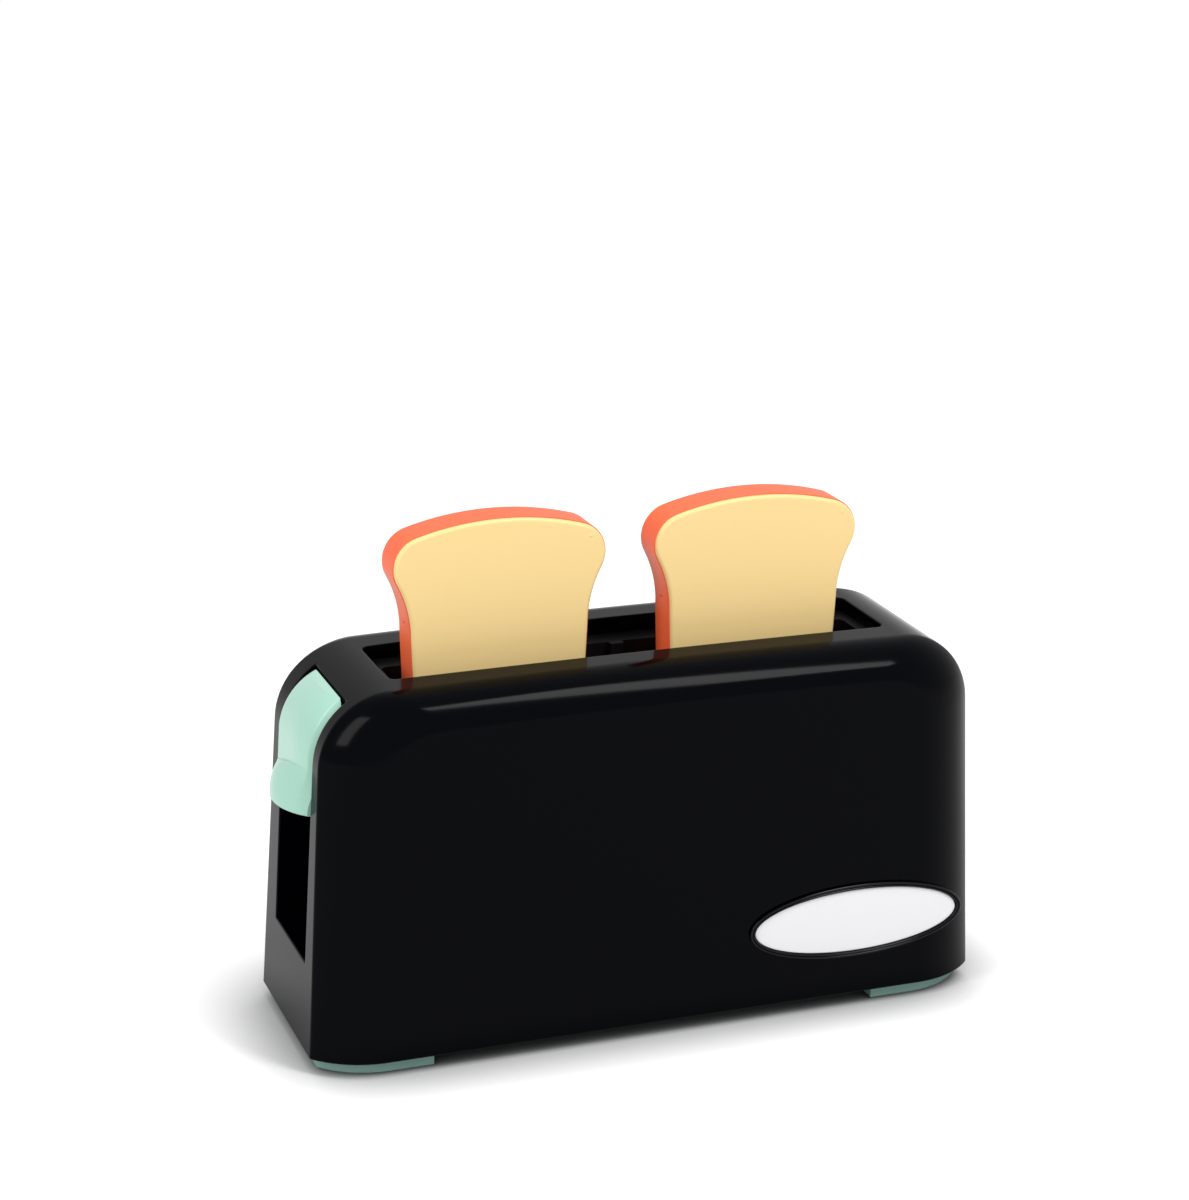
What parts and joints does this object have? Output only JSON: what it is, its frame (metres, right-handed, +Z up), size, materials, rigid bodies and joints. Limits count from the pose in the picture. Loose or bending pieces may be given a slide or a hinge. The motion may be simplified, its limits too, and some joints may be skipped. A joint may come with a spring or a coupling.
{
  "type": "toy toaster",
  "caption": "Pretend-play pop-up toaster: a long rounded casing with a top slot, a sprung side lever and toast slices that it lifts and throws up.",
  "frame": {"origin": "on the surface that the feet stand on, under the middle of the whole toaster's box", "axes": "+X along the toaster away from the lever, +Y to the back, away from the badge, +Z up"},
  "size_m": [0.2132, 0.0724, 0.1544],
  "materials": {
    "casing_plastic": "polished black moulding",
    "inner_plastic": "satin black moulding",
    "badge_plastic": "smooth white moulding",
    "base_plastic": "satin mint green moulding",
    "lever_plastic": "smooth mint green moulding",
    "crust_plastic": "satin orange moulding",
    "crumb_plastic": "satin cream moulding",
    "screw_steel": "zinc plated",
    "rod_steel": "drawn and bright",
    "spring_steel": "coiled wire",
    "buffer_rubber": "matt black"
  },
  "bodies": {
    "housing": {"casing": "casing_plastic", "badge_plate": "badge_plastic", "bread_well": "inner_plastic", "base_plate": "base_plastic", "base_screws": "screw_steel", "well_screws": "screw_steel", "guide_rod_left": "rod_steel", "guide_rod_right": "rod_steel", "buffer_washer_left": "buffer_rubber", "buffer_washer_right": "buffer_rubber", "spring_left": "spring_steel", "spring_right": "spring_steel"},
    "carriage": {"carriage": "inner_plastic", "lever": "lever_plastic"},
    "slice_left": {"slice_left_crust": "crust_plastic", "slice_left_crumb_front": "crumb_plastic", "slice_left_crumb_back": "crumb_plastic"},
    "slice_right": {"slice_right_crust": "crust_plastic", "slice_right_crumb_front": "crumb_plastic", "slice_right_crumb_back": "crumb_plastic"}
  },
  "joints": [
    {"name": "lever_slide", "type": "slide", "parent": "housing", "child": "carriage", "axis": [0, 0, -1], "range_m": [0, 0.044], "stiffness_N_per_m": 75, "springref_m": -0.03, "deforming": ["spring_left", "spring_right"]},
    {"name": "slice_left_lift", "type": "slide", "parent": "carriage", "child": "slice_left", "axis": [0, 0, 1], "range_m": [0, 0.12]},
    {"name": "slice_right_lift", "type": "slide", "parent": "carriage", "child": "slice_right", "axis": [0, 0, 1], "range_m": [0, 0.12]}
  ]
}
